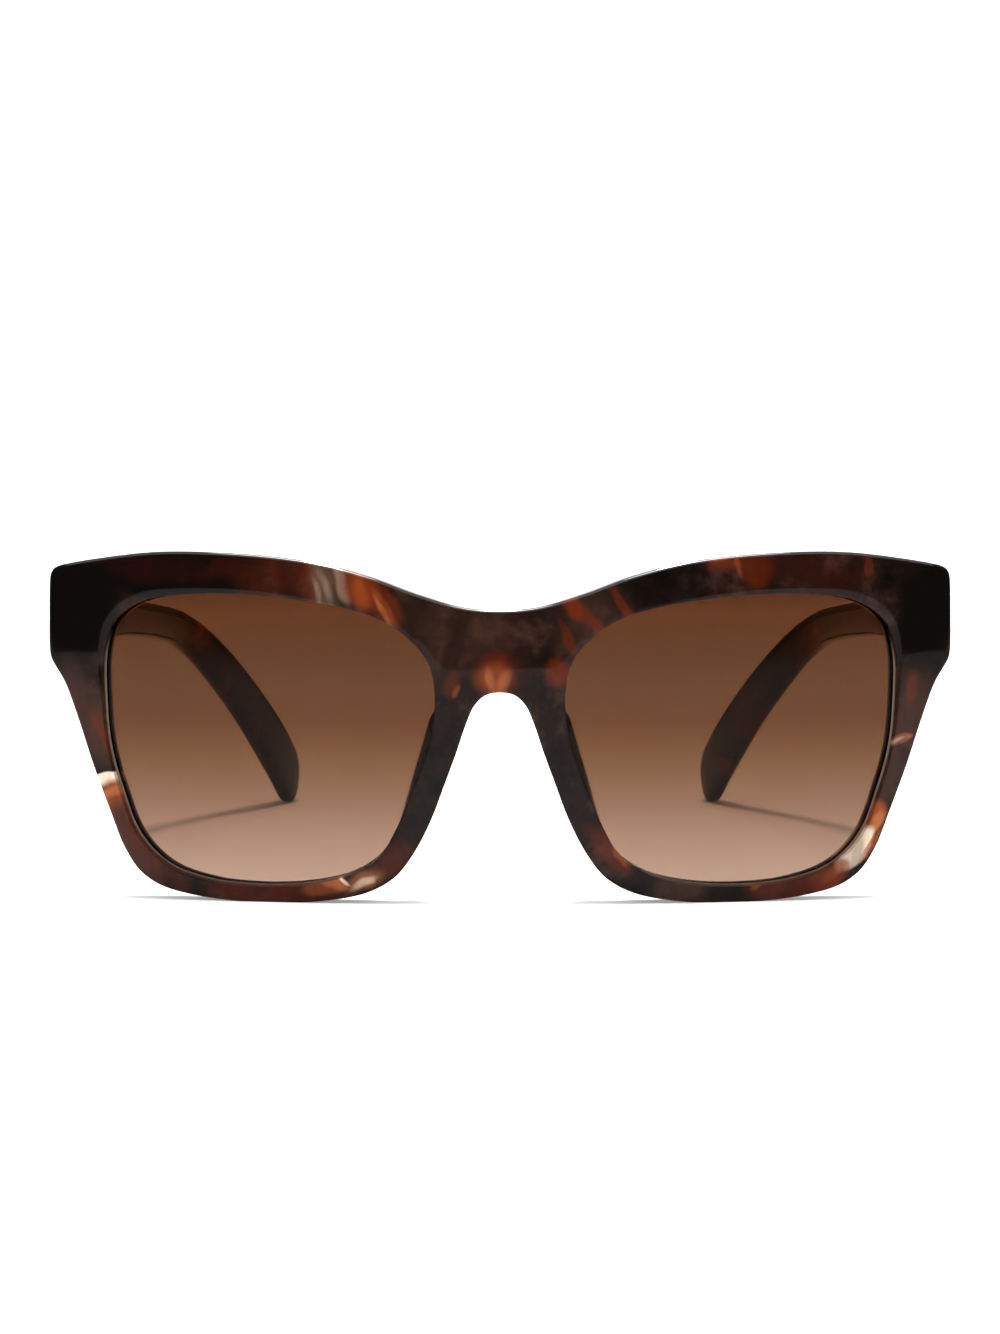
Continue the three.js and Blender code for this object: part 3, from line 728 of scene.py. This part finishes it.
def front_frame():
    """The bent sheet with both rims, the bridge and the end pieces."""
    walls = front_walls()
    flat, depths, faces = front_mesh(walls)
    points = bend(flat[:, 0], depths, flat[:, 1])
    # The end pieces' backs are cut square for the temples, and the rims' feet are polished flat.
    far = np.abs(points[:, 0]) > END_PIECE_START
    points[far, 1] = np.minimum(points[far, 1], FRONT_Y + BUTT_PLANE)
    points[:, 2] = np.maximum(points[:, 2], 0)
    outline_ring = walls[0][0][1]
    return points, faces, top_edge_highlight_marks(flat, len(outline_ring))


# ---- lenses -------------------------------------------------------------------------------------
def lens_body():
    """The left lens, and marks along its outer and lower edge, where a highlight is painted."""
    edge = smooth_loop(OPENING)
    normals = side_normals(edge)
    centre = edge.mean(axis=0)
    middle = (GROOVE_FRONT + GROOVE_BACK) / 2
    front = middle - LENS_THICKNESS / 2
    back = middle + LENS_THICKNESS / 2
    short, below = LENS_SHOULDER
    shoulder = LENS_OVERLAP - short
    scales = np.linspace(0.04, 0.97, 16)
    # Each level is the ring's scale, its distance out from the opening and its depth.
    levels = [(s, 0.0, front) for s in scales]
    levels += [
        (1, -LENS_BEVEL, front), (1, LENS_BLEND - LENS_BEVEL, front), (1, -LENS_GAP, front),
        (1, shoulder, front + below), (1, LENS_OVERLAP, middle - LENS_EDGE_HALF),
        (1, LENS_OVERLAP, middle + LENS_EDGE_HALF), (1, shoulder, back - below),
        (1, -LENS_GAP, back),
    ]
    levels += [(s, 0.0, back) for s in scales[::-1]]
    x, z = edge.T
    # The painted highlight runs down the lens's outer side and along its lower side.
    outer_side = smoothstep(46, 58, x) * smoothstep(44, 36, z)
    lower_side = smoothstep(18, 26, x) * smoothstep(9, 5, z)
    painted_highlight = np.maximum(outer_side, lower_side)
    rings, marks = [], []
    for scale, distance, depth in levels:
        ring = (edge + normals * distance - centre) * scale + centre
        rings.append(bend(ring[:, 0], depth, ring[:, 1]))
        on_bevel = scale == 1 and distance > -LENS_BEVEL and depth < middle
        marks.append(painted_highlight * on_bevel)
    points, faces = loft(rings)
    return points, faces, np.concatenate(marks + [[0, 0]])


# ---- temples ------------------------------------------------------------------------------------
def temple_path():
    """Rows like the stations, close together along the temple and evened out."""
    path = evenly_spaced(catmull_rom(TEMPLE_STATIONS, False, 40), TEMPLE_STEP, False)
    reach = 9
    kernel = np.hanning(2 * reach + 1)
    kernel /= kernel.sum()
    before = path[0] * 2 - path[reach:0:-1]
    beyond = path[-1] * 2 - path[-2:-reach - 2:-1]
    padded = np.vstack([before, path, beyond])
    return np.column_stack([np.convolve(column, kernel, "valid") for column in padded.T])


def temple_axes(centre, run):
    """Unit vectors forward along the path, and outward and up across each section."""
    along = np.gradient(centre, axis=0)
    turned_by = smoothstep(*TURNING_STRETCH, run)
    slope = np.arctan2(-along[:, 2], np.hypot(along[:, 0], along[:, 1])) * turned_by
    inward = np.arctan2(-along[:, 0], along[:, 1]) * turned_by
    forward = along / np.linalg.norm(along, axis=1)[:, None]
    outward = np.column_stack([np.cos(inward), np.sin(inward), 0 * run])
    up = np.column_stack([
        -np.sin(inward) * np.sin(slope), np.cos(inward) * np.sin(slope), np.cos(slope),
    ])
    return forward, outward, up


def with_broken_end(rings):
    """The rings with two smaller ones ahead of the first, which break the end's edges."""
    rings = list(rings)
    for inset, ahead in END_BREAK:
        middle = rings[0].mean(axis=0)
        away = rings[0] - middle
        away *= np.maximum(0, 1 - 0.5 * inset / np.abs(away).max(axis=0).clip(0.5))
        rings.insert(0, middle + away - (0, ahead, 0))
    return rings


def temple_body():
    """The left temple: a swept bar with rounded sides, closed by a round at the ear tip."""
    path = temple_path()
    centre, height, thick = path[:, :3] + (0, FRONT_Y, 0), path[:, 3], path[:, 4]
    run = np.concatenate([[0], np.cumsum(np.linalg.norm(np.diff(centre, axis=0), axis=1))])
    forward, outward, up = temple_axes(centre, run)
    to_tip = run[-1] - run
    closing = 1 - np.clip(to_tip / TIP_LENGTH, 0, 1)
    shrink = np.maximum((1 - closing**TIP_POWER) ** (1 / TIP_POWER), 0.03)
    shear = TIP_SHEAR * smoothstep(SHEAR_REACH, 0, to_tip)
    power = 2 / (HINGE_POWER - (HINGE_POWER - REAR_POWER) * smoothstep(*ROUNDING_STRETCH, run))
    turns = 2 * math.pi * (np.arange(TEMPLE_SIDES) + 0.5) / TEMPLE_SIDES
    cos, sin = np.cos(turns), np.sin(turns)
    rings = []
    for k in range(len(run)):
        side = np.sign(cos) * np.abs(cos) ** power[k] * thick[k] / 2 * shrink[k] ** 0.7
        rise = np.sign(sin) * np.abs(sin) ** power[k] * height[k] / 2 * shrink[k]
        rings.append(
            centre[k] + np.outer(side, outward[k]) + np.outer(rise, up[k])
            - np.outer(rise * shear[k], forward[k])
        )
    points, faces = loft(with_broken_end(rings))
    points[:, 2] = np.maximum(points[:, 2], 0)
    return points, faces


# ---- hinges -------------------------------------------------------------------------------------
def turned(profile, steps=40):
    """A body turned about the hinge axis, from radius and height pairs that run downwards."""
    turns = 2 * math.pi * np.arange(steps) / steps
    return loft([
        np.column_stack([radius * np.cos(turns), radius * np.sin(turns), 0 * turns + height])
        for radius, height in profile
    ])


def soft_block(low, high, radius, angle=0.0):
    """A block with rounded upright edges and broken top and bottom, turned about the axis."""
    low, high = np.array(low, float), np.array(high, float)
    middle, half = (low + high) / 2, (high - low) / 2
    turns = 2 * math.pi * (np.arange(32) + 0.5) / 32
    corner = np.column_stack([np.sign(np.cos(turns)), np.sign(np.sin(turns))])
    arc = np.column_stack([np.cos(turns), np.sin(turns)])
    levels = [
        (half[2], BLOCK_BREAK), (half[2] - BLOCK_BREAK, 0),
        (BLOCK_BREAK - half[2], 0), (-half[2], BLOCK_BREAK),
    ]
    rings = []
    for height, shrink in levels:
        flat = corner * (half[:2] - radius) + arc * (radius - shrink)
        rings.append(np.column_stack([flat, np.full(len(flat), height)]) + middle)
    points, faces = loft(rings)
    cos, sin = math.cos(angle), math.sin(angle)
    turn = np.array([[cos, sin, 0], [-sin, cos, 0], [0, 0, 1]])
    return points @ turn, faces


def webbed_barrels(numbers, web):
    """The barrels with these numbers, counted from below, each with its web to the plate."""
    web_low, web_high = web
    bodies = []
    for number in numbers:
        low = -HINGE_HALF + number * BARREL_PITCH
        high = low + BARREL_PITCH - BARREL_GAP
        bodies.append(turned([
            (BARREL_RADIUS - BARREL_BREAK, high), (BARREL_RADIUS, high - BARREL_BREAK),
            (BARREL_RADIUS, low + BARREL_BREAK), (BARREL_RADIUS - BARREL_BREAK, low),
        ]))
        bodies.append(soft_block(
            (*web_low, low + WEB_INSET), (*web_high, high - WEB_INSET), WEB_ROUNDING,
        ))
    return bodies


def front_leaf():
    """Three barrels on a plate that is let into the back of the end piece."""
    angle = math.asin(HINGE[0] / (BEND_RADIUS_X - FRONT_THICKNESS))
    low, high = FRONT_PLATE
    plate = soft_block((*low, -HINGE_HALF), (*high, HINGE_HALF), FRONT_PLATE_ROUNDING, angle)
    return joined([plate] + webbed_barrels((0, 2, 4), FRONT_WEB))


def temple_leaf():
    """Two barrels on a plate that is let into the temple's inner face."""
    low, high = TEMPLE_PLATE
    plate = soft_block((*low, -HINGE_HALF), (*high, HINGE_HALF), TEMPLE_PLATE_ROUNDING)
    return joined([plate] + webbed_barrels((1, 3), TEMPLE_WEB))


def screw():
    """Slotted cheese-head screw: the head is two half discs with the slot between them."""
    top = HINGE_HALF + BARREL_GAP + SCREW_HEAD_HEIGHT
    floor = top - SLOT_DEPTH
    under = HINGE_HALF + SCREW_HEAD_GAP
    shank = turned([
        (SCREW_RADIUS - SCREW_BREAK, HINGE_HALF), (SCREW_RADIUS, HINGE_HALF - SCREW_BREAK),
        (SCREW_RADIUS, SCREW_BREAK - HINGE_HALF), (SCREW_RADIUS - SCREW_BREAK, -HINGE_HALF),
    ])
    head = turned([
        (SCREW_HEAD_RADIUS, floor), (SCREW_HEAD_RADIUS, under + SCREW_BREAK),
        (SCREW_HEAD_RADIUS - SCREW_BREAK, under),
    ])
    bodies = [shank, head]
    open_angle = math.asin(HALF_SLOT / SCREW_HEAD_RADIUS)
    turns = np.linspace(open_angle, math.pi - open_angle, 24)
    half_circle = SCREW_HEAD_RADIUS * np.column_stack([np.cos(turns), np.sin(turns)])
    for side in (1, -1):
        rim = half_circle * side
        inner = rim * 0.9
        inner[:, 1] = side * np.maximum(side * inner[:, 1], HALF_SLOT)
        levels = [(inner, top), (rim, top - SCREW_BREAK), (rim, floor)]
        bodies.append(loft([np.column_stack([ring, np.full(len(ring), z)]) for ring, z in levels]))
    return joined(bodies)


# ---- nose pads ----------------------------------------------------------------------------------
def pad_outline():
    """The pad's half-moon, as distances along the rim and away from it."""
    half = PAD_HALF_LENGTH
    knots = [
        (-half, PAD_ROOT), (-half, 1.6), (-8.6, 4.4), (-4.8, 6.0), (-0.8, PAD_HEIGHT), (3.4, 5.9),
        (7.6, 4.6), (9.9, 2.2), (half, PAD_ROOT),
    ]
    curve = evenly_spaced(catmull_rom(knots, False), 0.4, False)
    base = np.linspace(half, -half, 40)[1:-1]
    base = np.column_stack([base, np.full(len(base), PAD_ROOT)])
    return np.vstack([curve, base])[::-1]


def nose_pad():
    """A half-moon bonded to the rim's back, its flat inner face towards the nose."""
    loop = pad_outline()
    normals = -side_normals(loop)
    bevel = quarter_round(PAD_BEVEL, PAD_ROUND_STEPS)
    levels = bevel + [(PAD_THICKNESS - d, inset) for d, inset in bevel[::-1]]
    down = np.array([math.sin(PAD_SLANT), 0, -math.cos(PAD_SLANT)])
    outward = np.array([math.cos(PAD_SLANT), 0, math.sin(PAD_SLANT)])
    back = np.array([0, math.cos(PAD_LEAN), 0]) + outward * math.sin(PAD_LEAN)
    across = np.cross(down, back)
    foot = bend(np.array(PAD_FOOT[:1]), FRONT_THICKNESS, np.array(PAD_FOOT[1:]))[0]
    rings = []
    for depth, inset in levels:
        flat = loop + normals * inset
        rings.append(
            foot + np.outer(flat[:, 0], down) + np.outer(flat[:, 1], back) + across * depth
        )
    points, faces = loft(rings)
    # The side away from the nose runs straight back, so that the pad thins towards its edge.
    plane = np.array([math.cos(PAD_OUTER_SLANT), 0, math.sin(PAD_OUTER_SLANT)])
    beyond = (points - PAD_OUTER) @ plane
    cut = PAD_OUTER_SOFTNESS * np.logaddexp(0, beyond / PAD_OUTER_SOFTNESS)
    return points - np.outer(cut, plane), faces


# ---- put the pieces together --------------------------------------------------------------------
front_points, front_faces, front_highlight_marks = front_frame()
new_piece("rim_front", front_points, front_faces, "front", "front_frame", front_sheet,
          front_highlight_marks)

*lens, lens_highlight_marks = lens_body()
pad = nose_pad()
temple = temple_body()
at_hinge = {"front_leaf": front_leaf(), "temple_leaf": temple_leaf(), "screw": screw()}
at_hinge = {name: (points + HINGE, faces) for name, (points, faces) in at_hinge.items()}

for side in ("left", "right"):
    arm = f"{side}_temple"
    pieces = [
        (f"sun_lens_{side}", lens, "front", "lens_tint", f"lens_{side}", lens_material),
        (f"pad_{side}", pad, "front", "acetate", f"nose_pad_{side}", pad_acetate),
        (f"arm_{side}", temple, arm, "acetate", f"temple_{side}", temple_acetate),
        (f"front_hinge_{side}", at_hinge["front_leaf"], "front", "hinge_steel",
         f"hinge_front_leaf_{side}", metal),
        (f"arm_hinge_{side}", at_hinge["temple_leaf"], arm, "hinge_steel",
         f"hinge_temple_leaf_{side}", metal),
        (f"screw_{side}", at_hinge["screw"], "front", "hinge_steel", f"hinge_screw_{side}", metal),
    ]
    for name, body, rides_on, slot, node, material in pieces:
        points, faces = body if side == "left" else mirrored(*body)
        marks = lens_highlight_marks if body is lens else None
        new_piece(name, points, faces, rides_on, node, material, marks)
    # The core wires stay the CAD's own, inside the temples.
    wire = frame["nodes"][f"core_wire_{side}"]
    wire.data.materials.clear()
    wire.data.materials.append(metal)


# ---- studio -------------------------------------------------------------------------------------
TABLE_GLOW = 0.25               # lifts the shadows under the rims
CAMERA_WHITE = 1.05             # the background as the camera sees it
ROOM_LIGHT = 0.80
ROOM_DARK = 0.02                # low down behind the camera, which the front mirrors
OVERHEAD_LIGHT = 17.0
OVERHEAD_CONE = (0.970, 0.978)  # its edge, as the height of a unit direction
LAMP_ENERGY = 1.9


def make_floor():
    """A white table top that ends a good way in front of the glasses, sized in metres."""
    front_edge, side, back = -0.95, 12.0, 30.0
    mesh = bpy.data.meshes.new("table_top")
    corners = [(-side, front_edge, 0), (side, front_edge, 0), (side, back, 0), (-side, back, 0)]
    mesh.from_pydata(corners, [], [(0, 1, 2, 3)])
    n = new_material("table_white")
    tone = n.noise(n.place(), 3.0, 2.0)
    colour = n.ramp(tone, [(0.3, (0.90, 0.90, 0.90)), (0.7, (0.93, 0.93, 0.93))])
    shader = n.add("BsdfPrincipled", {
        "Base Color": colour, "Roughness": 0.6, "Specular IOR Level": 0.1,
        "Emission Color": (1, 1, 1, 1), "Emission Strength": TABLE_GLOW,
    })
    mesh.materials.append(n.output(shader.outputs[0]))
    floor = bpy.data.objects.new("table_top", mesh)
    bpy.context.scene.collection.objects.link(floor)


def make_world():
    """A white room, brightest overhead, and dark low down behind the camera."""
    world = bpy.data.worlds.new("studio")
    bpy.context.scene.world = world
    n = Nodes(world)
    direction = n.add("SeparateXYZ", {0: n.add("TexCoord").outputs["Generated"]}).outputs
    ahead = n.remap(direction["Y"], -0.35, 0.15, smooth=True)
    above = n.remap(direction["Z"], 0.22, 0.50, smooth=True)
    room = n.remap(n.math("MAXIMUM", ahead, above), 0, 1, ROOM_DARK, ROOM_LIGHT)
    overhead = n.remap(direction["Z"], *OVERHEAD_CONE, 0.0, OVERHEAD_LIGHT, smooth=True)
    light = n.math("ADD", room, overhead)
    seen = n.add("LightPath").outputs["Is Camera Ray"]
    strength = n.add("Mix", {0: seen, 2: light, 3: CAMERA_WHITE}, data_type="FLOAT").outputs[0]
    background = n.add("Background", {"Color": (1, 1, 1, 1), "Strength": strength})
    n.output(background.outputs[0], "OutputWorld")


def make_light():
    """A small lamp close above, which draws the temples' thin shadows on the table."""
    key = bpy.data.lights.new("key", "AREA")
    key.shape = "DISK"
    key.size = 0.05
    key.energy = LAMP_ENERGY
    lamp = bpy.data.objects.new("key", key)
    lamp.location = (0, (FRONT_Y + 105) * MM, 0.42)
    bpy.context.scene.collection.objects.link(lamp)


make_floor()
make_world()
make_light()
bpy.context.scene.view_settings.view_transform = "Standard"
